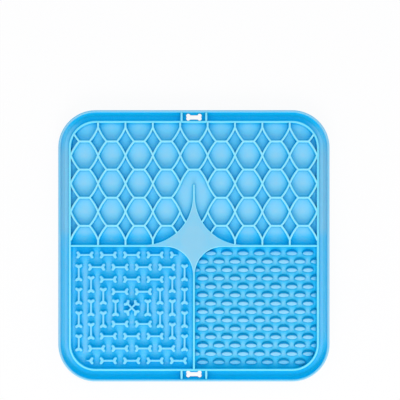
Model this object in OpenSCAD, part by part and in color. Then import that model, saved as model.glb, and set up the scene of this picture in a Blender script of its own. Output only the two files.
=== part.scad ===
// Square lick mat for pets, moulded in silicone.
// A gutter runs round four fields: honeycomb cells, rings of bones and rows of pips, parted by a star.
// The origin is the middle of the plane that the suction cups stand on. +Z is up, +Y is the honeycomb side.

/* [Mat] */
// Side of the square mat
mat_side = 200; // [180:1:260]
// Radius of the mat's outer corners
corner_r = 27.5; // [20:0.5:36]
// Thickness of the floor sheet
sheet_t = 1.8; // [1.2:0.1:3]
// Radius of the round lower edge of the floor sheet
sheet_edge_r = 0.9; // [0.3:0.1:1.1]

/* [Edge] */
// Width of the lip round the edge
lip_w = 1.7; // [1.2:0.1:2.6]
// Height of the lip above the floor
lip_h = 5.5; // [4:0.1:9]
// Width of the gutter between the lip and the inner wall
gutter_w = 6.1; // [5:0.1:8]
// Radius of the fillets along the gutter's floor
gutter_fillet = 1.5; // [0.5:0.1:2.2]

/* [Ribs] */
// Width of the inner wall, the dividers and the honeycomb's ribs
rib_w = 1.45; // [1.1:0.05:2]
// Height of all these ribs and of the star above the floor
rib_h = 5; // [3.5:0.1:8]

/* [Hanging tabs] */
// Distance between the two cross ribs of a tab, centre to centre
tab_w = 18.2; // [15:0.1:24]
// Width of a cross rib
tab_rib_w = 1.6; // [1.2:0.1:2.4]
// Flat left between the bone-shaped hole and the sides of the gutter
hole_edge = 0.45; // [0.3:0.05:1]
// Flat left between the bone-shaped hole and the cross ribs
hole_gap = 2.6; // [1.5:0.1:4]
// Width of the hole at its waist
hole_waist = 2.8; // [2:0.1:3.4]

/* [Star] */
// Radius of the star's two upper arcs
star_upper_r = 36; // [28:0.5:42]
// Radius of the star's two lower arcs
star_lower_r = 20.4; // [14:0.2:26]
// Length of the star's upper spike from the middle of the mat
spike_l = 46.3; // [42:0.1:52]

/* [Honeycomb] */
// Width of a cell, evened out so that whole columns fill the field
cell_w = 20.3; // [17:0.1:24]
// Height of a full cell
cell_l = 20.65; // [18:0.05:24]
// Length of the level rung between two cells of a column
rung_l = 7.7; // [5:0.1:10]
// How far the sloping ribs bow out between their ends
rib_bow = 0.5; // [0.2:0.05:0.9]

/* [Bones] */
// Length of a bone
bone_l = 12.4; // [10:0.1:14]
// Width across the two prongs at an end
bone_spread = 4.8; // [4:0.1:6]
// Width of the shaft and of the prongs
bone_w = 1.4; // [1:0.1:1.8]
// Height of the bones above the floor
bone_h = 4.5; // [2:0.1:6]
// Distance between bones in a row
bone_pitch = 17.25; // [15.5:0.05:18]
// Distance from the field's middle to the first ring
first_ring = 11.9; // [10.5:0.1:12.5]
// Distance from one ring to the next
ring_step = 9.05; // [7.5:0.05:9.4]

/* [Pips] */
// Length of a pip
pip_l = 7.6; // [5:0.1:9]
// Width of a pip
pip_w = 2.9; // [2:0.1:3.6]
// Height of the pips above the floor
pip_h = 2.2; // [1:0.1:4]
// Distance between pips in a row
pip_pitch = 12; // [10:0.1:14]
// Distance between rows of pips
pip_row_pitch = 6.2; // [5:0.1:8]

/* [Suction cups] */
// Diameter of a suction cup at its rim
cup_d = 22; // [16:0.5:26]
// Height of the cups, from the plane they stand on to the sheet
cup_h = 4; // [3:0.1:6]
// Diameter of the neck that joins a cup to the sheet
neck_d = 12; // [8:0.5:14]
// Width of the flat rim that a cup stands on
rim_w = 1.2; // [0.6:0.1:2]
// Thickness of a cup's skirt at its outer edge
skirt_t = 0.8; // [0.5:0.1:1.2]
// Depth of the hollow under a cup
hollow_h = 2.6; // [1.5:0.1:2.9]
// Distance between neighbouring cups
cup_pitch = 30; // [27:0.5:36]

/* [Hidden] */
$fn = 96;
arm_steps = 4;
arm_end_share = 1.15;
lobe_share = 0.29;
row_shift_share = 0.25;
neck_share = 0.75;
silicone = [0.42, 0.76, 0.96];

half_side = mat_side / 2;
half_rib = rib_w / 2;
floor_z = cup_h + sheet_t;

// The wall, the fields inside it and the quarters that the dividers leave
wall_inset = lip_w + gutter_w;
wall_middle = half_side - wall_inset - half_rib;
field_half = wall_middle - half_rib;
field_corner_r = corner_r - wall_inset - rib_w;
quarter = field_half - half_rib;
quarter_middle = half_rib + quarter / 2;

// Bone-shaped holes in the gutter
hole_y = half_side - lip_w - gutter_w / 2;
hole_w = gutter_w - 2 * hole_edge;
hole_l = tab_w - tab_rib_w - 2 * hole_gap;
lobe_r = lobe_share * hole_w;

// Star
star_side = star_upper_r + half_rib;
star_foot = star_lower_r + half_rib;

// Honeycomb: a middle column with as many whole ones beside it as fit, and rungs centred from wall to divider
side_columns = round((wall_middle / cell_w) - 1 / 2);
column_w = wall_middle / (side_columns + 1 / 2);
rungs = floor(wall_middle / cell_l);
top_rung_y = (wall_middle + (rungs - 1) * cell_l) / 2;
bottom_rung_y = top_rung_y - (rungs - 1) * cell_l;

// A sloping rib of the honeycomb, from the end of a rung up to the edge of its column
arm_start = [rung_l / 2, 0];
arm_run = [column_w / 2, cell_l / 2] - arm_start;
arm_out = [arm_run.y, -arm_run.x] / norm(arm_run);
arm_angle = atan2(arm_slope(0).y, arm_slope(0).x);

// Bones
prong_reach = (bone_spread - bone_w) / 2;
prong_tip_x = (bone_l - bone_w) / 2;
fork_x = prong_tip_x - prong_reach;
bone_rings = 1 + floor((quarter / 2 - first_ring - bone_spread / 2) / ring_step);

// Pips
pip_arc_r = (pow(pip_l, 2) + pow(pip_w, 2)) / (4 * pip_w);
pip_rows = floor(quarter / pip_row_pitch);
half_row = ceil(quarter / 2 / pip_pitch);

// Suction cups
cup_margin = corner_r * (1 - sin(45));
cup_rows = floor((mat_side - cup_d - 2 * cup_margin) / cup_pitch) + 1;
hollow_r = cup_d / 2 - rim_w;
hollow_ball_r = (pow(hollow_r, 2) + pow(hollow_h, 2)) / (2 * hollow_h);

module rounded_square(half, r) {
    square([2 * half, 2 * (half - r)], center = true);
    square([2 * (half - r), 2 * half], center = true);
    for (x = [-1, 1], y = [-1, 1])
        translate([x, y] * (half - r))
            circle(r);
}

// Carries a profile round the mat. Its x is the distance in from the mat's edge.
module round_the_mat() {
    run = mat_side - 2 * corner_r;
    for (turn = [0 : 90 : 270])
        rotate(turn) {
            translate([half_side, run / 2, 0])
                rotate([90, 0, 0])
                    linear_extrude(run)
                        mirror([1, 0])
                            children();
            translate([run / 2, run / 2, 0])
                rotate_extrude(angle = 90)
                    translate([corner_r, 0])
                        mirror([1, 0])
                            children();
        }
}

module fillet_profile() {
    difference() {
        square(gutter_fillet);
        translate([gutter_fillet, gutter_fillet])
            circle(gutter_fillet);
    }
}

module lip_profile() {
    square([lip_w, lip_h - lip_w / 2]);
    translate([lip_w / 2, lip_h - lip_w / 2])
        circle(lip_w / 2);
    translate([lip_w, 0])
        fillet_profile();
}

module wall_profile() {
    translate([wall_inset, 0]) {
        square([rib_w, rib_h]);
        mirror([1, 0])
            fillet_profile();
    }
}

module hole_outline() {
    for (x = [-1, 1], y = [-1, 1])
        translate([x * (hole_l / 2 - lobe_r), y * (hole_w / 2 - lobe_r)])
            circle(lobe_r);
    square([hole_l - 2 * lobe_r, hole_waist], center = true);
}

module hanging_holes() {
    for (y = [-1, 1])
        translate([0, y * hole_y, 0])
            linear_extrude(floor_z + lip_h)
                hole_outline();
}

module sheet_edge_profile() {
    translate([0, sheet_edge_r])
        square([sheet_edge_r, sheet_t - sheet_edge_r]);
    intersection() {
        square(sheet_edge_r);
        translate([1, 1] * sheet_edge_r)
            circle(sheet_edge_r);
    }
}

module floor_sheet() {
    color(silicone)
        difference() {
            translate([0, 0, cup_h]) {
                linear_extrude(sheet_t)
                    rounded_square(half_side - sheet_edge_r, corner_r - sheet_edge_r);
                round_the_mat()
                    sheet_edge_profile();
            }
            hanging_holes();
        }
}

module outer_lip() {
    color(silicone)
        difference() {
            translate([0, 0, floor_z])
                round_the_mat()
                    lip_profile();
            hanging_holes();
        }
}

module inner_wall() {
    color(silicone)
        difference() {
            translate([0, 0, floor_z])
                round_the_mat()
                    wall_profile();
            hanging_holes();
        }
}

// Each cross rib fills the gutter's section from the lip to the wall.
module tab_ribs() {
    color(silicone)
        for (turn = [0, 180], x = [-1, 1])
            rotate(turn)
                translate([x * tab_w / 2 + tab_rib_w / 2, half_side - lip_w, floor_z])
                    rotate([90, 0, -90])
                        linear_extrude(tab_rib_w)
                            difference() {
                                square([gutter_w, rib_h]);
                                fillet_profile();
                                translate([gutter_w, 0])
                                    mirror([1, 0])
                                        fillet_profile();
                            }
}

module cross_divider() {
    color(silicone)
        for (side = [0, 1])
            mirror([side, 0, 0])
                translate([star_side, -half_rib, floor_z])
                    cube([field_half - star_side, rib_w, rib_h]);
}

module lower_divider() {
    color(silicone)
        translate([-half_rib, -field_half, floor_z])
            cube([rib_w, field_half - star_foot, rib_h]);
}

module star_quarter(r) {
    difference() {
        square(r + half_rib);
        translate([1, 1] * (r + half_rib))
            circle(r);
    }
}

// The arcs run into the edges of the dividers, which the star holds as far as its points.
module star_outline() {
    for (side = [0, 1])
        mirror([side, 0]) {
            star_quarter(star_upper_r);
            mirror([0, 1])
                star_quarter(star_lower_r);
        }
    translate([-star_side, -half_rib])
        square([2 * star_side, rib_w]);
    translate([-half_rib, 0])
        square([rib_w, spike_l]);
}

module star() {
    color(silicone)
        translate([0, 0, floor_z])
            linear_extrude(rib_h)
                star_outline();
}

function rung_y(r) = top_rung_y - (r - 1) * cell_l;
function unit(v) = v / norm(v);

// Half the star's width at height y, and whether the spike runs right through a rung that is wider than the star there
function star_reach(y) = y < star_side ? star_side - sqrt(pow(star_upper_r, 2) - pow(star_side - y, 2)) : half_rib;
function beside_spike(c, y) = c == 0 && y + half_rib < spike_l && star_reach(y) < rung_l / 2;

// The sloping rib's middle line is a shallow arc. Its direction and its edges follow at share t of its run.
function arm_slope(t) = unit(arm_run + arm_out * rib_bow * 4 * (1 - 2 * t));
function arm_middle(t) = arm_start + arm_run * t + arm_out * rib_bow * 4 * t * (1 - t);
function arm_edge(t, side) = arm_middle(t) + [arm_slope(t).y, -arm_slope(t).x] * side * half_rib;

// A quarter of a rung with one sloping rib, mitred where they meet and cut off at the column's edge
module quarter_rung() {
    steps = [1 : arm_steps];
    intersection() {
        polygon(concat(
            [[0, 0], [0, half_rib], [arm_start.x - half_rib * tan(arm_angle / 2), half_rib]],
            [for (i = steps) arm_edge(arm_end_share * i / arm_steps, -1)],
            [for (i = steps) arm_edge(arm_end_share * (1 - (i - 1) / arm_steps), 1)],
            [[arm_start.x + half_rib / sin(arm_angle), 0]]
        ));
        square([column_w, cell_l] / 2);
    }
}

// A rung with the four sloping ribs that spread from its ends
module rung_outline() {
    for (x = [0, 1], y = [0, 1])
        mirror([x, 0])
            mirror([0, y])
                quarter_rung();
}

// The straight ends of a column's edge ribs, at the wall and at the divider
module edge_stubs(c) {
    stub = bottom_rung_y - cell_l / 2 + half_rib;
    for (side = [-1, 1])
        if (side * c < side_columns)
            translate([(c + side / 2) * column_w - half_rib, 0])
                for (y = [0, wall_middle - stub])
                    translate([0, y])
                        square([rib_w, stub]);
}

// Keeps what lies in one column of the field, clear of the star.
module inside_column(c) {
    difference() {
        intersection() {
            children();
            translate([(c - 1 / 2) * column_w, half_rib])
                square([column_w, quarter]);
            rounded_square(field_half, field_corner_r);
        }
        star_outline();
    }
}

// One column of cells, between the middles of its edge ribs. Columns are counted from the middle, left ones down.
module honeycomb_column(c) {
    color(silicone)
        translate([0, 0, floor_z]) {
            linear_extrude(rib_h)
                inside_column(c)
                    for (r = [1 : rungs])
                        if (!beside_spike(c, rung_y(r)))
                            translate([c * column_w, rung_y(r)])
                                rung_outline();
            linear_extrude(rib_h)
                inside_column(c)
                    edge_stubs(c);
        }
}

module bone_end() {
    translate([fork_x, 0])
        circle(bone_w / 2);
    for (side = [-1, 1]) {
        translate([fork_x, 0])
            rotate(side * 45)
                translate([0, -bone_w / 2])
                    square([prong_reach / sin(45), bone_w]);
        translate([prong_tip_x, side * prong_reach])
            circle(bone_w / 2);
    }
}

module bone_outline() {
    square([2 * fork_x, bone_w], center = true);
    for (side = [0, 1])
        mirror([side, 0])
            bone_end();
}

// Half a bone, whose shaft runs out to a point where the field is too narrow for a whole one
module half_bone_outline() {
    polygon([[0, 0], [fork_x, -bone_w / 2], [fork_x, bone_w / 2]]);
    bone_end();
}

function ring_reach(k) = first_ring + (k - 1) * ring_step;

// Whether a row's last bone would run out over a rounded corner of radius r
function over_corner(k, r) =
    let (tip = [k * bone_pitch + bone_l, bone_spread] / 2 + [0, ring_reach(k)], middle = [1, 1] * (quarter / 2 - r))
    min(tip - middle) > 0 && norm(tip - middle) > r;

// Only the upper row's right end, at the star, and the lower row's left end, at the wall, meet rounded corners.
function bone_is_half(k, side, i) =
    side * (2 * i - k) == k && over_corner(k, side > 0 ? star_lower_r : field_corner_r);

// A square ring of bones round the middle of the field. Each level row has one bone more than an upright row.
module bone_ring(k) {
    reach = ring_reach(k);
    color(silicone)
        translate([-quarter_middle, -quarter_middle, floor_z])
            linear_extrude(bone_h)
                for (side = [-1, 1]) {
                    for (i = [0 : k])
                        translate([(i - k / 2) * bone_pitch, side * reach])
                            if (bone_is_half(k, side, i))
                                mirror([max(side, 0), 0])
                                    half_bone_outline();
                            else
                                bone_outline();
                    for (i = [1 : k])
                        translate([side * reach, (i - (k + 1) / 2) * bone_pitch])
                            rotate(90)
                                bone_outline();
                }
}

module crossed_bones() {
    color(silicone)
        translate([-quarter_middle, -quarter_middle, floor_z])
            linear_extrude(bone_h)
                for (turn = [-45, 45])
                    rotate(turn)
                        bone_outline();
}

module pip_outline() {
    intersection_for (side = [-1, 1])
        translate([0, side * (pip_arc_r - pip_w / 2)])
            circle(pip_arc_r);
}

// Rows shifted by turns to the right and to the left, cut off by the star, the dividers and the wall
module oval_pips() {
    color(silicone)
        translate([0, 0, floor_z])
            linear_extrude(pip_h)
                difference() {
                    intersection() {
                        for (r = [1 : pip_rows], i = [-half_row : half_row])
                            translate([
                                quarter_middle + (i + row_shift_share * (r % 2 == 1 ? 1 : -1)) * pip_pitch,
                                -quarter_middle + ((pip_rows + 1) / 2 - r) * pip_row_pitch
                            ])
                                pip_outline();
                        translate([half_rib, -field_half])
                            square([quarter, quarter]);
                        rounded_square(field_half, field_corner_r);
                    }
                    star_outline();
                }
}

// A shallow cup on a short neck, hollowed by a ball, with a flat rim to stand on
module suction_cup() {
    difference() {
        rotate_extrude()
            polygon([
                [0, 0],
                [cup_d / 2, 0],
                [cup_d / 2, skirt_t],
                [neck_d / 2, neck_share * cup_h],
                [neck_d / 2, cup_h],
                [0, cup_h]
            ]);
        translate([0, 0, hollow_h - hollow_ball_r])
            sphere(hollow_ball_r);
    }
}

module suction_cups() {
    middle = (cup_rows - 1) / 2;
    color(silicone)
        for (i = [-middle : middle], j = [-middle : middle])
            translate([i * cup_pitch, j * cup_pitch, 0])
                suction_cup();
}

floor_sheet();
outer_lip();
inner_wall();
tab_ribs();
cross_divider();
lower_divider();
star();
honeycomb_column(0);  // honeycomb_middle
for (c = [1 : side_columns]) {
    honeycomb_column(-c);
    honeycomb_column(c);
}
for (k = [1 : bone_rings])
    bone_ring(k);
crossed_bones();
oval_pips();
suction_cups();
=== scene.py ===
import math

import bmesh
import bpy
from mathutils import Matrix, Vector


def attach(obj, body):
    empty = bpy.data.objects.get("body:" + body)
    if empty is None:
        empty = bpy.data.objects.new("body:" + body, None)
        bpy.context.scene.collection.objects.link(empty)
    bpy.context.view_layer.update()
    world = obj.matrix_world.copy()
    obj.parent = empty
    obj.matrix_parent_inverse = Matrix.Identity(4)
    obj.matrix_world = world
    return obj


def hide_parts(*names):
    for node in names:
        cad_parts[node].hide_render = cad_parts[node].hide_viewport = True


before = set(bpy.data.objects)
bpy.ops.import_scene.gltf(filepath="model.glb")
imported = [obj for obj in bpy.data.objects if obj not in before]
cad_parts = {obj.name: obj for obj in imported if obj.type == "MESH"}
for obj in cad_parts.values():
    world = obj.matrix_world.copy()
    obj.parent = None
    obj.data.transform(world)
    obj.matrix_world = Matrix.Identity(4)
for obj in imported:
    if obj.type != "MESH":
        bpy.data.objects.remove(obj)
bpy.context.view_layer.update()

scene = bpy.context.scene
mm = 0.001

# All sizes are in millimetres, and meshes are scaled to metres when they are finished.
# Most sizes repeat the CAD's, and a few in plan lie closer to the photo by less than 1 mm.
mat = {"side": 200, "cornerRadius": 27.5, "cupHeight": 4, "sheet": 1.8, "wallInset": 7.8,
       "ribWidth": 1.45, "ribHeight": 5, "topRound": 0.34, "foot": 0.6, "sunk": 0.1}
halfSide = mat["side"] / 2
ribWidth = mat["ribWidth"]
halfRib = ribWidth / 2
floorZ = mat["cupHeight"] + mat["sheet"]
wallMiddle = halfSide - mat["wallInset"] - halfRib
fieldHalf = wallMiddle - halfRib
quarterMiddle = (halfRib + fieldHalf) / 2


class Wire:
    # A node's socket. Its operators add Math nodes, and make() adds any other node

    def __init__(self, tree, socket=None):
        self.tree = tree
        self.socket = socket

    def make(self, kind, settings=None, values=None, out=0):
        node = self.tree.nodes.new(kind)
        for name, value in (settings or {}).items():
            setattr(node, name, value)
        for name, value in (values or {}).items():
            for part in value if isinstance(value, list) else [value]:
                if isinstance(part, Wire):
                    self.tree.links.new(part.socket, node.inputs[name])
                else:
                    node.inputs[name].default_value = part
        return Wire(self.tree, node.outputs[out] if len(node.outputs) else None)

    def maths(self, operation, first, second):
        return self.make("ShaderNodeMath", {"operation": operation}, {0: first, 1: second})

    def __add__(self, other): return self.maths("ADD", self, other)
    def __radd__(self, other): return self.maths("ADD", other, self)
    def __sub__(self, other): return self.maths("SUBTRACT", self, other)
    def __rsub__(self, other): return self.maths("SUBTRACT", other, self)
    def __mul__(self, other): return self.maths("MULTIPLY", self, other)
    def __rmul__(self, other): return self.maths("MULTIPLY", other, self)
    def __truediv__(self, other): return self.maths("DIVIDE", self, other)
    def __gt__(self, other): return self.maths("GREATER_THAN", self, other)
    def __lt__(self, other): return self.maths("LESS_THAN", self, other)
    def __abs__(self): return self.make("ShaderNodeMath", {"operation": "ABSOLUTE"}, {0: self})

    def vector(self, operation, second=None, out=0):
        values = {0: self} if second is None else {0: self, 1: second}
        return self.make("ShaderNodeVectorMath", {"operation": operation}, values, out)

    def part(self, axis):
        return self.make("ShaderNodeSeparateXYZ", None, {0: self}, axis)

    def combined(self, x=0, y=0, z=0):
        return self.make("ShaderNodeCombineXYZ", None, {"X": x, "Y": y, "Z": z})

    def fade(self, low, high):
        # 0 below low, 1 above high, in millimetres, smooth between
        return self.make("ShaderNodeMapRange", {"interpolation_type": "SMOOTHSTEP"},
                         {"Value": self, "From Min": low * mm, "From Max": high * mm})

    def mixed(self, first, second):
        # Between two colours, by this wire
        settings = {"data_type": "RGBA"}
        return self.make("ShaderNodeMix", settings, {0: self, 6: first, 7: second}, out=2)


siliconeLook = {
    "roughness": 0.48, "ior": 1.41, "specular": 0.13,
    "subsurface": 0.12, "scatter": 2.4, "scatterColour": (0.1, 0.6, 1.0),
    "cloudSize": 9, "cloudDetail": 3.0, "cloudDepth": 0.05, "cloudRoughness": 0.12,
    "grainSize": 0.28, "grainDetail": 2.0, "grainDepth": 0.012, "grainStrength": 0.6,
    # Painted shade: the tone deepens behind walls to the front and the back, and less beside walls,
    # as shade falls there.
    # Each way that is felt has its x, y, angle up, share and samples
    "shadeWays": ((0, -1, 25, 1.05, 12), (0, 1, 40, 0.75, 8),
                (-1, 0, 15, -0.45, 5), (1, 0, 15, -0.35, 5)),
    "shadeReach": 9, "shadeFrom": 0.31, "shadeTo": 0.88,
    # How strongly the painted shade deepens the tone in the fields and gutters, and from what share
    # on
    "upperShade": 0.97, "lowerShade": 2.0, "boneShade": 0.6, "sideLoss": 1.0,
    "shadeStart": 0.22, "boneStart": 0.18,
    # Where these meet: from and to, from the mat's middle, and for the rim from its outside
    "cellsStart": (4, 14), "cellsEnd": (86, 93), "sideGutter": (88, 93), "gutterEnd": (62, 84),
    "bonesRight": (-9, -3), "bonesBack": (-5, 0), "rimInside": (0.5, 0.1),
    # Painted contact shade: the darker line where anything stands on the floor
    "footReach": 1.5, "footDepth": 0.5, "footLimit": 0.45, "footSamples": 8,
}
# Each tint has an open tone, a darker tone for the painted shade behind walls (for the sheet,
# another one inside the honeycomb cells), and for raised parts a lighter tone painted on their tops
# as light
sheetTint = {"open": (0.32, 0.69, 0.87), "paintedShade": (0.0, 0.61, 0.98), "cells": (0.09, 0.72, 1.0)}
starTint = {"open": (0.27, 0.62, 0.81), "paintedShade": (0.0, 0.60, 0.96)}
lipTint = {"open": (0.30, 0.62, 0.79), "paintedShade": (0.0, 0.60, 0.93)}
ribTint = {"open": (0.25, 0.66, 0.88), "paintedShade": (0.0, 0.61, 0.98),
           "top": (0.33, 0.82, 0.95), "topFade": (9.6, 10.6)}
wallTint = {**ribTint, "top": (0.24, 0.79, 0.95)}
boneTint = {**ribTint, "top": (0.26, 0.71, 0.95), "topFade": (9.0, 10.0)}
# The pips' sides are painted darker than the floor, as shade on them, and their tops lighter, as
# light
pipTint = {"open": (0.07, 0.45, 0.76), "paintedShade": (0.0, 0.41, 0.73),
           "top": (0.31, 0.70, 0.92), "topFade": (6.9, 7.9)}
rimTint = (0.12, 0.52, 0.88)


def rgb(colour):
    return (*colour, 1)


def opened(start, reach, samples, way=None):
    # How open a spot is, from 0 to 1, this way or else square to its surface
    values = {"Distance": reach * mm} if way is None else {"Distance": reach * mm, "Normal": way}
    return start.make("ShaderNodeAmbientOcclusion", {"samples": samples}, values, out="AO")


def shadedBehindWalls(start):
    # Where shade is painted: 1 where walls stand close
    look, openness = siliconeLook, 0
    for x, y, lift, share, samples in look["shadeWays"]:
        lift = math.radians(lift)
        way = start.combined(x * math.cos(lift), y * math.cos(lift), math.sin(lift))
        openness = opened(start, look["shadeReach"], samples, way) * share + openness
    return (look["shadeTo"] - openness) / (look["shadeTo"] - look["shadeFrom"])


def paintedShadeByField(paintedShadeShare, place, away, amongCells):
    # Painted shade, most among the bones and pips and in the gutter's ends, less in the cells and
    # its sides
    look = siliconeLook
    sideGutter = away.part("X").fade(*look["sideGutter"])
    sideGutter = sideGutter * (1 - away.part("Y").fade(*look["gutterEnd"]))
    amongBones = 1 - place.part("X").fade(*look["bonesRight"])
    amongBones = amongBones * (1 - place.part("Y").fade(*look["bonesBack"]))
    strength = look["lowerShade"] + amongCells * (look["upperShade"] - look["lowerShade"])
    strength = strength - sideGutter * look["sideLoss"] + amongBones * look["boneShade"]
    return paintedShadeShare * strength - (strength - 1) * (look["shadeStart"] + amongBones * look["boneStart"])


def onRim(away):
    # 1 on the outside of the rim, which has its own tone
    corner = (halfSide - mat["cornerRadius"]) * mm
    reach = away.vector("SUBTRACT", (corner, corner, 1)).vector("MAXIMUM", (0, 0, 0))
    low, high = [mat["cornerRadius"] - inside for inside in siliconeLook["rimInside"]]
    return reach.vector("LENGTH", out="Value").fade(low, high)


def footShade(start):
    look = siliconeLook
    foot = opened(start, look["footReach"], look["footSamples"])
    return start.maths("MINIMUM", 1 - foot, look["footLimit"]) * look["footDepth"]


def noise(place, size, detail):
    values = {"Vector": place, "Scale": 1 / (size * mm), "Detail": detail}
    return place.make("ShaderNodeTexNoise", None, values)


def silicone(name, tint):
    look = siliconeLook
    material = bpy.data.materials.new(name)
    material.use_nodes = True
    tree = material.node_tree
    start = Wire(tree)
    place = start.make("ShaderNodeTexCoord", out="Object")
    away = place.vector("ABSOLUTE")
    along = place.part("Y")
    amongCells = along.fade(*look["cellsStart"]) - along.fade(*look["cellsEnd"])
    # Painted shade: the tone deepens where walls stand close
    paintedShadeShare = paintedShadeByField(shadedBehindWalls(start), place, away, amongCells)
    paintedShadeTone = amongCells.mixed(rgb(tint["paintedShade"]), rgb(tint.get("cells", tint["paintedShade"])))
    colour = rgb(tint["open"])
    # Painted light: the tops of raised parts are lighter than their sides
    if "top" in tint:
        colour = place.part("Z").fade(*tint["topFade"]).mixed(colour, rgb(tint["top"]))
    colour = onRim(away).mixed(paintedShadeShare.mixed(colour, paintedShadeTone), rgb(rimTint))
    clouds = noise(place, look["cloudSize"], look["cloudDetail"]) - 0.5
    # Random cloudy tone, less the painted contact shade where things stand on the floor
    cloudsAndFootShade = 1 + clouds * look["cloudDepth"] - footShade(start)
    scaled = {0: colour, "Scale": cloudsAndFootShade}
    colour = start.make("ShaderNodeVectorMath", {"operation": "SCALE"}, scaled)
    bump = start.make("ShaderNodeBump", None, {
        "Height": noise(place, look["grainSize"], look["grainDetail"]),
        "Distance": look["grainDepth"] * mm, "Strength": look["grainStrength"]})
    roughness = look["roughness"] + clouds * look["cloudRoughness"]

    shader = tree.nodes["Principled BSDF"]
    for socket, wire in (("Base Color", colour), ("Roughness", roughness), ("Normal", bump)):
        tree.links.new(wire.socket, shader.inputs[socket])
    for socket, value in (("Subsurface Weight", look["subsurface"]),
                          ("Subsurface Radius", look["scatterColour"]),
                          ("Subsurface Scale", look["scatter"] * mm),
                          ("IOR", look["ior"]), ("Specular IOR Level", look["specular"])):
        shader.inputs[socket].default_value = value
    return material


sheetSilicone = silicone("sheetSilicone", sheetTint)
ribSilicone = silicone("ribSilicone", ribTint)
wallSilicone = silicone("wallSilicone", wallTint)
boneSilicone = silicone("boneSilicone", boneTint)
pipSilicone = silicone("pipSilicone", pipTint)
starSilicone = silicone("starSilicone", starTint)
lipSilicone = silicone("lipSilicone", lipTint)
print("materials ready")


# Mesh tools, which work in millimetres

def toMesh(name, bm, materials, mergeWithin=0.0005):
    bmesh.ops.remove_doubles(bm, verts=bm.verts, dist=mergeWithin)
    bmesh.ops.recalc_face_normals(bm, faces=bm.faces)
    bm.transform(Matrix.Scale(mm, 4))
    mesh = bpy.data.meshes.new(name)
    bm.to_mesh(mesh)
    bm.free()
    for material in materials:
        mesh.materials.append(material)
    return mesh


def toPiece(name, mesh, nodes, smoothUnder=40):
    # A finished piece: smooth faces, on the body, in the CAD's place
    mesh.name = name
    piece = bpy.data.objects.new(name, mesh)
    scene.collection.objects.link(piece)
    for polygon in mesh.polygons:
        polygon.use_smooth = True
    mesh.set_sharp_from_angle(angle=math.radians(smoothUnder))
    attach(piece, "root")
    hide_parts(*nodes)
    print(name, len(mesh.polygons), "faces")


def loft(bm, rings, closed=False, topIndex=0):
    # Skins a stack of rings that have the same number of points. A closed one has no caps
    loops = [[bm.verts.new(point) for point in ring] for ring in rings]
    pairs = list(zip(loops, loops[1:]))
    if closed:
        pairs.append((loops[-1], loops[0]))
    for low, high in pairs:
        for i in range(len(low)):
            j = (i + 1) % len(low)
            bm.faces.new((low[i], low[j], high[j], high[i]))
    if not closed:
        bm.faces.new(reversed(loops[0]))
        top = bm.faces.new(loops[-1])
        top.material_index = topIndex


def sideProfile(height, topRadius, footRadius, steps=3, sunk=0.15):
    # How far the side stands out and at what height, from the foot up over the rounded edge
    turns = [math.pi / 2 * i / steps for i in range(steps + 1)]
    return [(footRadius, -sunk)] + \
        [(footRadius * (1 - math.sin(t)), footRadius * (1 - math.cos(t))) for t in turns] + \
        [(-topRadius * (1 - math.cos(t)), height - topRadius * (1 - math.sin(t))) for t in turns]


def roundEnd(centre, way, half, turnFrom, steps):
    # The points round a stroke's end, between its two sides
    heading = math.atan2(way.y, way.x)
    turns = [heading + math.radians(turnFrom - 180 * i / steps) for i in range(1, steps)]
    return [centre + Vector((math.cos(t), math.sin(t))) * half for t in turns]


def strokeRing(path, widths, outset, z, capSteps, thinnest=0.03, sharpest=0.5):
    # The outline of a stroke along a path, with round ends
    points = [Vector(p) for p in path]
    ways = [(b - a).normalized() for a, b in zip(points, points[1:])]
    halves = [max(width / 2 + outset, thinnest) for width in widths]
    lefts, rights = [], []
    for i, point in enumerate(points):
        before, after = ways[max(i - 1, 0)], ways[min(i, len(ways) - 1)]
        way = (before + after).normalized()
        side = Vector((-way.y, way.x)) * (halves[i] / max(way.dot(after), sharpest))
        lefts.append(point + side)
        rights.append(point - side)
    ring = lefts + roundEnd(points[-1], ways[-1], halves[-1], 90, capSteps)
    ring += rights[::-1] + roundEnd(points[0], ways[0], halves[0], -90, capSteps)
    return [(p.x, p.y, z) for p in ring]


def stroke(bm, path, width, profile, baseZ, capSteps=6):
    widths = width if isinstance(width, list) else [width] * len(path)
    loft(bm, [strokeRing(path, widths, outset, baseZ + z, capSteps) for outset, z in profile])


def squareRing(inset, z, cornerSteps=24):
    # A rounded square at this distance in from the mat's edge
    half, radius = halfSide - inset, mat["cornerRadius"] - inset
    ring = []
    for quarter, corner in enumerate(((1, 1), (-1, 1), (-1, -1), (1, -1))):
        for i in range(cornerSteps + 1):
            turn = math.pi / 2 * (quarter + i / cornerSteps)
            way = Vector((math.cos(turn), math.sin(turn)))
            point = Vector(corner) * (half - radius) + way * radius
            ring.append((point.x, point.y, z))
    return ring


def arc(centre, radius, turnFrom, turnTo, steps):
    turns = [math.radians(turnFrom + (turnTo - turnFrom) * i / steps) for i in range(steps + 1)]
    return [(centre[0] + radius * math.cos(t), centre[1] + radius * math.sin(t)) for t in turns]


def offsetOutline(outline, outset, sharpest=0.35):
    # Moves a closed outline that runs anticlockwise outwards by outset
    points = [Vector(p) for p in outline]
    moved = []
    for i, point in enumerate(points):
        before = (point - points[i - 1]).normalized()
        after = (points[(i + 1) % len(points)] - point).normalized()
        way = (before + after).normalized()
        out = Vector((way.y, -way.x))
        moved.append(point + out * outset / max(way.dot(after), sharpest))
    return [(p.x, p.y) for p in moved]


def evaluatedMesh(thing):
    return bpy.data.meshes.new_from_object(
        thing.evaluated_get(bpy.context.evaluated_depsgraph_get()))


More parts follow.
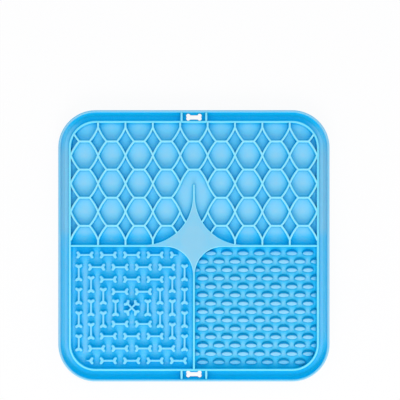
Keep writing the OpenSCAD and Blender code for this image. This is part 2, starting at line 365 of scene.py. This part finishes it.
def cutWith(mesh, cutter, name):
    # What is left of the mesh when the cutter is taken away
    body = bpy.data.objects.new(name, mesh)
    tool = bpy.data.objects.new(name + "Cutter", cutter)
    for thing in (body, tool):
        scene.collection.objects.link(thing)
    modifier = body.modifiers.new("cut", "BOOLEAN")
    modifier.operation = "DIFFERENCE"
    modifier.solver = "EXACT"
    modifier.object = tool
    left = evaluatedMesh(body)
    bpy.data.objects.remove(body)
    bpy.data.objects.remove(tool)
    return left


# Geometry Nodes tools

def newTree(name, inlets):
    tree = bpy.data.node_groups.new(name, "GeometryNodeTree")
    for inletName, kind, value in inlets:
        socket = tree.interface.new_socket(inletName, in_out="INPUT", socket_type=kind)
        if value is not None:
            socket.default_value = value
    tree.interface.new_socket("Geometry", in_out="OUTPUT", socket_type="NodeSocketGeometry")
    source = tree.nodes.new("NodeGroupInput")
    wires = {socket.name: Wire(tree, socket) for socket in source.outputs if socket.name}
    return tree, Wire(tree), wires


def shapeOf(inlet):
    return inlet.make("GeometryNodeObjectInfo", None, {"Object": inlet}, out="Geometry")


def joined(*parts):
    return parts[0].make("GeometryNodeJoinGeometry", None, {"Geometry": list(parts)})


def moved(geometry, translation=(0, 0, 0), rotation=(0, 0, 0)):
    values = {"Geometry": geometry, "Translation": translation, "Rotation": rotation}
    return geometry.make("GeometryNodeTransform", None, values)


def onPoints(points, unit, selection=True, rotation=(0, 0, 0)):
    values = {"Points": points, "Instance": unit, "Selection": selection, "Rotation": rotation}
    return points.make("GeometryNodeInstanceOnPoints", None, values)


def realized(geometry):
    return geometry.make("GeometryNodeRealizeInstances", None, {"Geometry": geometry})


def welded(geometry):
    # Strokes that run into each other become one closed skin
    island = geometry.make("GeometryNodeInputMeshIsland", out="Island Index")
    apart = geometry.make("GeometryNodeSplitToInstances", {"domain": "FACE"},
                          {"Geometry": geometry, "Group ID": island})
    return geometry.make("GeometryNodeMeshBoolean", {"operation": "UNION", "solver": "MANIFOLD"},
                         {"Mesh": apart})


def endTree(geometry, material):
    done = geometry.make("GeometryNodeSetMaterial", None,
                         {"Geometry": realized(geometry), "Material": material})
    geometry.make("NodeGroupOutput", None, {"Geometry": done})


def grow(name, tree, inlets):
    # Runs a tree on an empty holder and keeps the plain mesh
    holder = bpy.data.objects.new(name, bpy.data.meshes.new(name))
    scene.collection.objects.link(holder)
    modifier = holder.modifiers.new("maker", "NODES")
    modifier.node_group = tree
    for item in tree.interface.items_tree:
        if item.in_out == "INPUT" and item.name in inlets:
            modifier[item.identifier] = inlets[item.name]
    grown = evaluatedMesh(holder)
    bpy.data.objects.remove(holder)
    return grown


def unitObject(name, mesh):
    # A shape that a tree takes in, until removeUnits takes it away
    unit = bpy.data.objects.new(name, mesh)
    scene.collection.objects.link(unit)
    return unit


def removeUnits(*units):
    for unit in units:
        bpy.data.objects.remove(unit)


weldTree, _, inlet = newTree("weldTree", [("Strokes", "NodeSocketObject", None),
                                          ("Material", "NodeSocketMaterial", None)])
endTree(welded(shapeOf(inlet["Strokes"])), inlet["Material"])


def weldedMesh(name, bm, material):
    rough = unitObject(name + "Strokes", toMesh(name + "Strokes", bm, [material]))
    mesh = grow(name, weldTree, {"Strokes": rough, "Material": material})
    removeUnits(rough)
    return mesh


# The floor sheet, the lip and the inner wall, with the two bone-shaped holes

edge = {"lipWidth": 1.7, "lipHeight": 5.5, "gutter": 6.1, "lipFillet": 2.6, "wallFillet": 1.3,
        "lowerRound": 0.9, "sheetMiddle": 26, "sheetEdge": 0.001,
        "filletSteps": 6, "lipSteps": 10, "wallSteps": 4}
hole = {"y": 95.25, "length": 11.4, "width": 5.2, "lobe": 1.508, "waist": 2.8, "lobeSteps": 14,
        "flare": 0.25, "flareTurns": (0.5, 1.0, math.pi / 2), "cutBelow": 1, "cutAbove": 8}


def holeOutline():
    # Four lobes, each from the dent in the hole's end to its waist
    lobe = hole["lobe"]
    x, y = hole["length"] / 2 - lobe, hole["width"] / 2 - lobe
    dent = math.degrees(math.atan2(-y, math.sqrt(lobe ** 2 - y ** 2)))
    neck = math.degrees(math.pi - math.asin((hole["waist"] / 2 - y) / lobe))
    upperRight = arc((x, y), lobe, dent, neck, hole["lobeSteps"])
    upperLeft = [(-px, py) for px, py in reversed(upperRight)]
    lowerLeft = [(-px, -py) for px, py in upperRight]
    lowerRight = [(px, -py) for px, py in reversed(upperRight)]
    return upperRight + upperLeft[:-1] + lowerLeft[:-1] + lowerRight[1:-1]


def holeCutter():
    # The holes widen in a small round at both faces of the sheet
    flare, bottom = hole["flare"], mat["cupHeight"]
    bends = [(flare * (1 - math.sin(t)), flare * (1 - math.cos(t))) for t in hole["flareTurns"]]
    levels = [(flare, bottom - hole["cutBelow"]), (flare, bottom)]
    levels += [(outset, bottom + rise) for outset, rise in bends]
    levels += [(outset, floorZ - rise) for outset, rise in reversed(bends)]
    levels += [(flare, floorZ), (flare, floorZ + hole["cutAbove"])]
    bm = bmesh.new()
    for sign in (-1, 1):
        loft(bm, [[(x, y + sign * hole["y"], z) for x, y in offsetOutline(holeOutline(), outset)]
                  for outset, z in levels])
    return toMesh("holeCutter", bm, [sheetSilicone])


cutter = holeCutter()


def sweptPiece(name, node, profile, material, closed=True):
    # A profile of insets and heights, swept round the mat, with the holes cut out
    bm = bmesh.new()
    loft(bm, [squareRing(inset, z) for inset, z in profile], closed)
    mesh = cutWith(toMesh(name, bm, [material]), cutter, name)
    toPiece(name, mesh, [node], smoothUnder=50)


low, bottom, middle = edge["lowerRound"], mat["cupHeight"], edge["sheetMiddle"]
steps, baseZ = edge["filletSteps"], floorZ - mat["sunk"]
sheetProfile = [(middle, bottom)] + arc((low, bottom + low), low, 270, 180, steps)
sheetProfile += [(0, floorZ - edge["sheetEdge"]), (0, floorZ)]
sheetProfile += [(edge["lipWidth"] / 2, floorZ), (middle, floorZ)]
sweptPiece("floorSheet", "floor_sheet", sheetProfile, sheetSilicone, closed=False)

w, fillet, lipTop = edge["lipWidth"], edge["lipFillet"], floorZ + edge["lipHeight"]
lipProfile = [(0, baseZ), (0, floorZ)]
lipProfile += arc((w / 2, lipTop - w / 2), w / 2, 180, 0, edge["lipSteps"])
lipProfile += arc((w + fillet, floorZ + fillet), fillet, 180, 270, steps) + [(w + fillet, baseZ)]
sweptPiece("outerLip", "outer_lip", lipProfile, lipSilicone)

x0, x1, wallTop = mat["wallInset"], mat["wallInset"] + ribWidth, floorZ + mat["ribHeight"]
r, foot, fillet = mat["topRound"], mat["foot"], edge["wallFillet"]
wallProfile = [(x0 - fillet, baseZ)] + arc((x0 - fillet, floorZ + fillet), fillet, 270, 360, steps)
steps = edge["wallSteps"]
wallProfile += arc((x0 + r, wallTop - r), r, 180, 90, steps)
wallProfile += arc((x1 - r, wallTop - r), r, 90, 0, steps)
wallProfile += arc((x1 + foot, floorZ + foot), foot, 180, 270, steps) + [(x1 + foot, baseZ)]
sweptPiece("innerWall", "inner_wall", wallProfile, wallSilicone)
bpy.data.meshes.remove(cutter)


# Dividers and tab ribs. Their tops lie a little below the wall's, so that no two share a plane

dividers = {"crossStart": 34, "lowerStart": 19.5, "intoWall": 0.3, "drop": 0.01}
tab = {"pitch": 18.2, "width": 1.6, "start": 1.4, "pastGutter": 0.6, "drop": 0.02}
dividerSide = sideProfile(mat["ribHeight"] - dividers["drop"], mat["topRound"], mat["foot"])
ribSide = sideProfile(mat["ribHeight"] - tab["drop"], mat["topRound"], mat["foot"])

bm = bmesh.new()
end = fieldHalf + dividers["intoWall"]
for sign in (-1, 1):
    path = [(sign * dividers["crossStart"], 0), (sign * end, 0)]
    stroke(bm, path, ribWidth, dividerSide, floorZ)
stroke(bm, [(0, -dividers["lowerStart"]), (0, -end)], ribWidth, dividerSide, floorZ)
toPiece("dividers", toMesh("dividers", bm, [wallSilicone]), ["cross_divider", "lower_divider"])

bm = bmesh.new()
for sign in (-1, 1):
    for side in (-1, 1):
        x, y = side * tab["pitch"] / 2, sign * (halfSide - tab["start"])
        path = [(x, y), (x, y - sign * (edge["gutter"] + tab["pastGutter"]))]
        stroke(bm, path, tab["width"], ribSide, floorZ)
toPiece("tabRibs", toMesh("tabRibs", bm, [ribSilicone]), ["tab_ribs"])
print("edge and dividers made")


# The star, whose arms end inside the dividers, a little narrower than they are

star = {"upperRadius": 36, "upperTurn": 267, "upperSteps": 44,
        "lowerRadius": 20.4, "lowerSteps": 30, "spike": 45.4, "spikeTurn": 80, "spikeSteps": 4,
        "edgeRound": 0.5, "topInset": 0.1, "armShare": 0.95, "lowerArm": 1.5, "sideArm": 2.2}


def starOutline():
    up, down, end = star["upperRadius"], star["lowerRadius"], halfRib * star["armShare"]
    right = [(end, -down - halfRib - star["lowerArm"])]
    right += arc((down + halfRib, -down - halfRib), down, 180, 90, star["lowerSteps"])
    right += [(up - star["sideArm"], -halfRib), (up + halfRib, -end), (up + halfRib, end)]
    right += arc((up + halfRib, up + halfRib), up, star["upperTurn"], 180, star["upperSteps"])
    right += arc((0, star["spike"] - halfRib), halfRib, 0, star["spikeTurn"], star["spikeSteps"])
    return right + [(-x, y) for x, y in reversed(right)]


bm = bmesh.new()
starSide = sideProfile(mat["ribHeight"], star["edgeRound"], mat["foot"], steps=4)
starSide.append((-star["edgeRound"] - star["topInset"], mat["ribHeight"]))
loft(bm, [[(x, y, floorZ + z) for x, y in offsetOutline(starOutline(), outset)]
          for outset, z in starSide], topIndex=1)
toPiece("centreStar", toMesh("centreStar", bm, [ribSilicone, starSilicone]), ["star"])
print("star made")


# Honeycomb: a rung with four sloping ribs, repeated over the field

honeycomb = {"columns": 9, "rows": 4, "cellWidth": 20.2, "cellLength": 20.75, "topRung": 77.07,
             "rung": 7.7, "bow": 0.5, "armSteps": 6, "stubEnd": 0.3}
halfRung = honeycomb["rung"] / 2
cellWidth, cellLength = honeycomb["cellWidth"], honeycomb["cellLength"]


def armPath(sx, sy):
    start = Vector((halfRung, 0))
    run = Vector((cellWidth, cellLength)) / 2 - start
    out = Vector((run.y, -run.x)).normalized() * honeycomb["bow"]
    path = []
    for i in range(honeycomb["armSteps"] + 1):
        t = i / honeycomb["armSteps"]
        point = start + run * t + out * 4 * t * (1 - t)
        path.append((point.x * sx, point.y * sy))
    return path


def insideWall(x, y):
    # Within the wall's middle line, with its rounded corners
    corner = mat["cornerRadius"] - mat["wallInset"] - halfRib
    beyond = Vector((abs(x), abs(y))) - Vector((1, 1)) * (wallMiddle - corner)
    if min(beyond) > 0:
        return beyond.length < corner
    return max(beyond) < corner


def clippedAtWall(path, halvings=20):
    # The part of a path from its start to where it crosses the wall's middle line
    kept = [path[0]]
    for (ax, ay), (bx, by) in zip(path, path[1:]):
        if insideWall(bx, by):
            kept.append((bx, by))
            continue
        low, high = 0.0, 1.0
        for i in range(halvings):
            t = (low + high) / 2
            if insideWall(ax + (bx - ax) * t, ay + (by - ay) * t):
                low = t
            else:
                high = t
        return kept + [(ax + (bx - ax) * low, ay + (by - ay) * low)]
    return kept


arms = [armPath(sx, sy) for sx in (-1, 1) for sy in (-1, 1)]
bm = bmesh.new()
for path in [[(-halfRung, 0), (halfRung, 0)]] + arms:
    stroke(bm, path, ribWidth, ribSide, 0)
rungUnit = unitObject("rungUnit", toMesh("rungUnit", bm, [ribSilicone]))

# What the wall clips in the corners, and the stubs at the wall and at the divider
bm = bmesh.new()
lastColumn = (honeycomb["columns"] - 1) / 2
for side in (-1, 1):
    middle = Vector((side * lastColumn * cellWidth, honeycomb["topRung"]))
    for path in [[(-halfRung * side, 0), (halfRung * side, 0)]] + arms:
        path = clippedAtWall([(x + middle.x, y + middle.y) for x, y in path])
        stroke(bm, path, ribWidth, ribSide, floorZ)
topStub = honeycomb["topRung"] + cellLength / 2
bottomStub = honeycomb["topRung"] - (honeycomb["rows"] - 1 / 2) * cellLength
gap = honeycomb["stubEnd"]
for i in range(honeycomb["columns"] - 1):
    x = (i - lastColumn + 1 / 2) * cellWidth
    for path in ([(x, topStub), (x, wallMiddle - gap)], [(x, bottomStub), (x, gap)]):
        stroke(bm, path, ribWidth, ribSide, floorZ)
cornerUnit = unitObject("cornerUnit", toMesh("cornerUnit", bm, [ribSilicone]))

tree, start, inlet = newTree("honeycombTree", [
    ("Columns", "NodeSocketInt", 9), ("Rows", "NodeSocketInt", 4),
    ("Cell width", "NodeSocketFloat", 0.02), ("Cell length", "NodeSocketFloat", 0.02),
    ("Top rung", "NodeSocketFloat", 0.07), ("Base", "NodeSocketFloat", 0.005),
    ("Rung", "NodeSocketObject", None), ("Ends", "NodeSocketObject", None)])
wide = (inlet["Columns"] - 1) * inlet["Cell width"]
tall = (inlet["Rows"] - 1) * inlet["Cell length"]
grid = start.make("GeometryNodeMeshGrid", None, {
    "Size X": wide, "Size Y": tall, "Vertices X": inlet["Columns"], "Vertices Y": inlet["Rows"]})
grid = moved(grid, start.combined(y=inlet["Top rung"] - tall / 2, z=inlet["Base"]))
place = start.make("GeometryNodeInputPosition")
placeX, placeY, within = place.part("X"), place.part("Y"), 1 * mm
corners = (abs(placeX) > wide / 2 - within) * (placeY > inlet["Top rung"] - within)
spikeY = inlet["Top rung"] - 2 * inlet["Cell length"]
besideSpike = (abs(placeX) < within) * (abs(placeY - spikeY) < within)
left = start.make("GeometryNodeDeleteGeometry", None,
                  {"Geometry": grid, "Selection": corners + besideSpike > 0.5})
cells = realized(onPoints(left, shapeOf(inlet["Rung"])))
endTree(welded(joined(cells, shapeOf(inlet["Ends"]))), ribSilicone)
honeycombMesh = grow("honeycomb", tree, {
    "Columns": honeycomb["columns"], "Rows": honeycomb["rows"],
    "Cell width": cellWidth * mm, "Cell length": cellLength * mm,
    "Top rung": honeycomb["topRung"] * mm, "Base": floorZ * mm,
    "Rung": rungUnit, "Ends": cornerUnit})
columnNodes = [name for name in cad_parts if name.startswith("honeycomb")]
toPiece("honeycomb", honeycombMesh, columnNodes)
removeUnits(rungUnit, cornerUnit)
print("honeycomb made")


# Bones in four square rings, and two crossed ones in the middle

bones = {"length": 12.4, "spread": 4.7, "width": 1.45, "height": 4.5, "topRound": 0.45, "foot": 0.5,
         "tipWidth": 2.2, "tipOut": 0.2, "web": 1.3, "webStart": 0.4, "webWidth": 1.25,
         "cutEnd": 0.3, "pitch": 17.25, "firstRing": 11.9, "ringStep": 9.05, "rings": 4,
         "shiftLeft": 0.2, "capSteps": 5}
prongReach = (bones["spread"] - bones["width"]) / 2
tipX = (bones["length"] - bones["tipWidth"]) / 2 + bones["tipOut"]
forkX = tipX - prongReach
boneSide = sideProfile(bones["height"], bones["topRound"], bones["foot"])


def boneStrokes(whole):
    # Path and widths of each stroke of a bone, or of its left half: shaft, prongs, and webs
    width, tip, cut = bones["width"], bones["tipWidth"], bones["cutEnd"]
    shaftEnd, endWidth = (forkX, width) if whole else (-cut, cut)
    strokes = [([(-forkX, 0), (shaftEnd, 0)], [width, endWidth])]
    for side in (-1, 1) if whole else (-1,):
        strokes += [([(side * forkX, 0), (side * tipX, up * prongReach)], [width, tip])
                    for up in (-1, 1)]
        web = [(side * (forkX - bones["webStart"]), 0), (side * (forkX + bones["web"]), 0)]
        strokes.append((web, [width, width * bones["webWidth"]]))
    return strokes


def boneObject(name, whole):
    bm = bmesh.new()
    for path, widths in boneStrokes(whole):
        stroke(bm, path, widths, boneSide, 0, bones["capSteps"])
    return unitObject(name, weldedMesh(name, bm, boneSilicone))


boneUnit, halfBoneUnit = boneObject("wholeBone", True), boneObject("halfBone", False)
tree, start, inlet = newTree("boneRingTree", [
    ("Ring", "NodeSocketInt", 1), ("Reach", "NodeSocketFloat", 0.01),
    ("Pitch", "NodeSocketFloat", 0.01), ("Half bone at the end", "NodeSocketBool", False),
    ("Middle", "NodeSocketVector", None),
    ("Bone", "NodeSocketObject", None), ("Half bone", "NodeSocketObject", None)])
ring, step, bone = inlet["Ring"], inlet["Pitch"], shapeOf(inlet["Bone"])
# One row along the back and one along the right, then both again, turned half round
upper = start.make("GeometryNodeMeshLine", None, {
    "Count": ring + 1, "Offset": start.combined(step),
    "Start Location": start.combined(ring * step * -0.5, inlet["Reach"])})
right = start.make("GeometryNodeMeshLine", None, {
    "Count": ring, "Offset": start.combined(y=step),
    "Start Location": start.combined(inlet["Reach"], (ring - 1) * step * -0.5)})
isEnd = (start.make("GeometryNodeInputIndex") > ring - 0.5) * inlet["Half bone at the end"]
level = onPoints(upper, bone, selection=isEnd < 0.5)
halves = onPoints(upper, shapeOf(inlet["Half bone"]), selection=isEnd > 0.5)
upright = onPoints(right, bone, rotation=(0, 0, math.pi / 2))
halfRing = joined(level, halves, upright)
wholeRing = joined(halfRing, moved(halfRing, rotation=(0, 0, math.pi)))
endTree(moved(wholeRing, inlet["Middle"]), boneSilicone)

boneMiddle = ((-quarterMiddle - bones["shiftLeft"]) * mm, -quarterMiddle * mm, floorZ * mm)
for k in range(1, bones["rings"] + 1):
    reach = bones["firstRing"] + (k - 1) * bones["ringStep"]
    ringMesh = grow(f"boneRing{k}", tree, {
        "Ring": k, "Reach": reach * mm, "Pitch": bones["pitch"] * mm,
        "Half bone at the end": k == bones["rings"], "Middle": boneMiddle,
        "Bone": boneUnit, "Half bone": halfBoneUnit})
    toPiece(f"boneRing{k}", ringMesh, [f"bone_ring_{k}"])
removeUnits(boneUnit, halfBoneUnit)

bm = bmesh.new()
for turn in (45, -45):
    cosine, sine = math.cos(math.radians(turn)), math.sin(math.radians(turn))
    for path, widths in boneStrokes(True):
        path = [(x * cosine - y * sine - quarterMiddle - bones["shiftLeft"],
                 x * sine + y * cosine - quarterMiddle) for x, y in path]
        stroke(bm, path, widths, boneSide, floorZ, bones["capSteps"])
toPiece("crossedBones", weldedMesh("crossedBones", bm, boneSilicone), ["crossed_bones"])
print("bones made")


# Oval pips in shifted rows, cut off by the star, the dividers and the wall

pips = {"length": 8.0, "width": 3.0, "height": 2.4, "pitch": 12, "rowPitch": 6.2, "rows": 14,
        "perRow": 9, "rowShift": 0.25, "shiftLeft": 0.3, "shiftFront": 0.2, "sideSteps": 20,
        "crown": 0.14, "crownHeight": 0.25, "crownTurn": 72, "crownSteps": 4, "flat": 0.4,
        # Shares of the length, the near half's width, the far half's, which slopes more, and
        # the height
        "foot": ((1.08, 1.08, 2.0, -0.08), (1.08, 1.08, 2.0, 0), (1.05, 1.04, 1.7, 0.15),
                 (1.01, 1.0, 1.3, 0.5)),
        # How far the field reaches into what bounds it, below the floor and above it
        "spare": 0.25, "below": 1, "above": 6, "cornerSteps": 16}


def pipMesh():
    length, width = pips["length"], pips["width"]
    circle = arc((0, 0), 1, 0, 360, pips["sideSteps"])[:-1]
    outline = [(x * length / 2, y * width / 2) for x, y in circle]
    levels = list(pips["foot"])
    for i in range(pips["crownSteps"] + 1):
        turn = math.radians(pips["crownTurn"]) * i / pips["crownSteps"]
        share = 1 - pips["crown"] * (1 - math.cos(turn))
        levels.append((share, share, share, 1 - pips["crownHeight"] * (1 - math.sin(turn))))
    levels.append((pips["flat"], pips["flat"], pips["flat"], 1))
    bm = bmesh.new()
    loft(bm, [[(x * along, y * (near if y < 0 else far), z * pips["height"]) for x, y in outline]
              for along, near, far, z in levels])
    return toMesh("pipUnit", bm, [pipSilicone])


def pipFieldMesh():
    # The lower right quarter
    spare, steps = pips["spare"], pips["cornerSteps"]
    low, high = halfRib - spare, fieldHalf + spare
    starArc = star["lowerRadius"] + spare
    wallArc = mat["cornerRadius"] - mat["wallInset"] - ribWidth + spare
    outline = arc((high - wallArc, -high + wallArc), wallArc, 270, 360, steps) + [(high, -low)]
    outline += arc((low + starArc, -low - starArc), starArc, 90, 180, steps) + [(low, -high)]
    levels = (floorZ - pips["below"], floorZ + pips["above"])
    bm = bmesh.new()
    loft(bm, [[(x, y, z) for x, y in outline] for z in levels])
    return toMesh("pipField", bm, [pipSilicone])


pipUnit, field = unitObject("pipUnit", pipMesh()), unitObject("pipField", pipFieldMesh())
tree, start, inlet = newTree("pipTree", [
    ("Rows", "NodeSocketInt", 14), ("Per row", "NodeSocketInt", 9),
    ("Pitch", "NodeSocketFloat", 0.01), ("Row pitch", "NodeSocketFloat", 0.01),
    ("Shift", "NodeSocketFloat", 0.003), ("Middle", "NodeSocketVector", None),
    ("Pip", "NodeSocketObject", None), ("Field", "NodeSocketObject", None)])
halves = []
for sign in (1, -1):  # every second row is shifted
    rows = start.make("GeometryNodeMeshGrid", None, {
        "Size X": (inlet["Per row"] - 1) * inlet["Pitch"],
        "Size Y": (inlet["Rows"] - 2) * inlet["Row pitch"],
        "Vertices X": inlet["Per row"], "Vertices Y": inlet["Rows"] / 2})
    halves.append(moved(rows, start.combined(inlet["Shift"] * sign,
                                             inlet["Row pitch"] * 0.5 * sign)))
points = moved(joined(*halves), inlet["Middle"])
planted = realized(onPoints(points, shapeOf(inlet["Pip"])))
kept = start.make("GeometryNodeMeshBoolean", {"operation": "INTERSECT", "solver": "EXACT"},
                  {"Mesh": [planted, shapeOf(inlet["Field"])]})
endTree(kept, pipSilicone)
pipX, pipY = quarterMiddle - pips["shiftLeft"], -quarterMiddle - pips["shiftFront"]
pipsMesh = grow("ovalPips", tree, {
    "Rows": pips["rows"], "Per row": pips["perRow"], "Pitch": pips["pitch"] * mm,
    "Row pitch": pips["rowPitch"] * mm, "Shift": pips["rowShift"] * pips["pitch"] * mm,
    "Middle": (pipX * mm, pipY * mm, floorZ * mm), "Pip": pipUnit, "Field": field})
toPiece("ovalPips", pipsMesh, ["oval_pips"], smoothUnder=60)
removeUnits(pipUnit, field)
print("pips made")


# Suction cups, a lathed one repeated in rows

cups = {"diameter": 22, "height": 4, "rim": 1.2, "rimFlat": 0.15, "rimRound": 0.3, "rimTurn": 300,
        "rimSteps": 2, "skirt": 0.8, "hollow": 2.6, "hollowSteps": 6, "pole": 0.05,
        "pitch": 30, "perSide": 6, "turnSteps": 32,
        # In from the edge and up from the skirt's top, then out from the neck and up
        "skirtCurve": ((0.05, -0.15), (0.35, 0.12)),
        "neck": 12, "neckCurve": ((1.2, 2.48), (0.4, 2.8), (0, 3.25))}


def cupProfile():
    # Radius and height, from the middle of the hollow round the rim and up into the sheet
    outer, neck, hollow = cups["diameter"] / 2, cups["neck"] / 2, cups["hollow"]
    hollowRadius, rimRound = outer - cups["rim"], cups["rimRound"]
    ballRadius = (hollowRadius ** 2 + hollow ** 2) / (2 * hollow)
    profile = [(cups["pole"], hollow)]
    for i in range(1, cups["hollowSteps"] + 1):
        x = hollowRadius * i / cups["hollowSteps"]
        profile.append((x, hollow - ballRadius + math.sqrt(ballRadius ** 2 - x ** 2)))
    profile += [(hollowRadius + cups["rimFlat"], 0), (outer - rimRound, 0)]
    profile += arc((outer - rimRound, rimRound), rimRound, cups["rimTurn"], 360, cups["rimSteps"])
    profile += [(outer - x, cups["skirt"] + z) for x, z in cups["skirtCurve"]]
    profile += [(neck + x, z) for x, z in cups["neckCurve"]]
    top = cups["height"] + mat["sunk"]
    return profile + [(neck, top), (cups["pole"], top)]


bm = bmesh.new()
turns = [2 * math.pi * i / cups["turnSteps"] for i in range(cups["turnSteps"])]
loft(bm, [[(x * math.cos(t), x * math.sin(t), z) for t in turns] for x, z in cupProfile()])
cupUnit = unitObject("cupUnit", toMesh("cupUnit", bm, [sheetSilicone]))
tree, start, inlet = newTree("cupTree", [
    ("Per side", "NodeSocketInt", 6), ("Pitch", "NodeSocketFloat", 0.03),
    ("Cup", "NodeSocketObject", None)])
span = (inlet["Per side"] - 1) * inlet["Pitch"]
grid = start.make("GeometryNodeMeshGrid", None, {
    "Size X": span, "Size Y": span,
    "Vertices X": inlet["Per side"], "Vertices Y": inlet["Per side"]})
endTree(onPoints(grid, shapeOf(inlet["Cup"])), sheetSilicone)
cupMesh = grow("suctionCups", tree, {
    "Per side": cups["perSide"], "Pitch": cups["pitch"] * mm, "Cup": cupUnit})
toPiece("suctionCups", cupMesh, ["suction_cups"])
removeUnits(cupUnit)
print("suction cups made")


# Floor, light and camera. The camera's height, the key light and the floor are in metres

studio = {"height": 0.9, "overX": 4.5, "overY": 33.8, "frameWidth": 294.9, "plane": 10.8,
          "sensor": 36, "keyTilt": 40, "keyDistance": 1.0, "keySize": 0.6, "keyPower": 4.6,
          "keyColour": (1.0, 0.86, 0.82), "skyColour": (0.77, 0.80, 0.86),
          "floorReach": 3, "floorTone": 0.9, "floorRoughness": 0.9, "floorGlow": 0.92}
white = rgb((1, 1, 1))

reach = studio["floorReach"]
corners = [(-reach, -reach, 0), (reach, -reach, 0), (reach, reach, 0), (-reach, reach, 0)]
floorMesh = bpy.data.meshes.new("studioFloor")
floorMesh.from_pydata(corners, [], [(0, 1, 2, 3)])
floor = bpy.data.objects.new("studioFloor", floorMesh)
scene.collection.objects.link(floor)
pale = bpy.data.materials.new("paleFloor")
pale.use_nodes = True
paleTree = pale.node_tree
start = Wire(paleTree)
plain = paleTree.nodes["Principled BSDF"]
plain.inputs["Base Color"].default_value = rgb([studio["floorTone"]] * 3)
plain.inputs["Roughness"].default_value = studio["floorRoughness"]
glow = start.make("ShaderNodeEmission", None, {"Color": white, "Strength": 1.0})
seen = start.make("ShaderNodeLightPath", out="Is Camera Ray")
mixed = start.make("ShaderNodeMixShader", None, {
    0: seen * studio["floorGlow"], 1: Wire(paleTree, plain.outputs[0]), 2: glow})
paleTree.links.new(mixed.socket, paleTree.nodes["Material Output"].inputs["Surface"])
floorMesh.materials.append(pale)

world = bpy.data.worlds.new("studio")
scene.world = world
world.use_nodes = True
sky = Wire(world.node_tree)
rays = [sky.make("ShaderNodeLightPath", out=f"Is {kind} Ray")
        for kind in ("Camera", "Glossy", "Transmission")]
direct = sky.maths("MINIMUM", rays[0] + rays[1] + rays[2], 1.0)
background = world.node_tree.nodes["Background"]
colour = direct.mixed(rgb(studio["skyColour"]), white)
world.node_tree.links.new(colour.socket, background.inputs["Color"])
background.inputs["Strength"].default_value = 1.0

lamp = bpy.data.lights.new("key", "AREA")
lamp.shape = "DISK"
lamp.size = studio["keySize"]
lamp.energy = studio["keyPower"]
lamp.color = studio["keyColour"]
key = bpy.data.objects.new("key", lamp)
tilt, distance = math.radians(studio["keyTilt"]), studio["keyDistance"]
key.location = (0, -math.cos(tilt) * distance, math.sin(tilt) * distance)
key.rotation_euler = (math.pi / 2 - tilt, 0, 0)
scene.collection.objects.link(key)

lens = bpy.data.cameras.new("camera")
lens.sensor_width = studio["sensor"]
lens.lens = studio["sensor"] * studio["height"] / (studio["frameWidth"] * mm)
camera = bpy.data.objects.new("camera", lens)
camera.location = (studio["overX"] * mm, studio["overY"] * mm,
                   studio["plane"] * mm + studio["height"])
scene.collection.objects.link(camera)
scene.camera = camera
scene.view_settings.view_transform = "Standard"
print("studio ready")
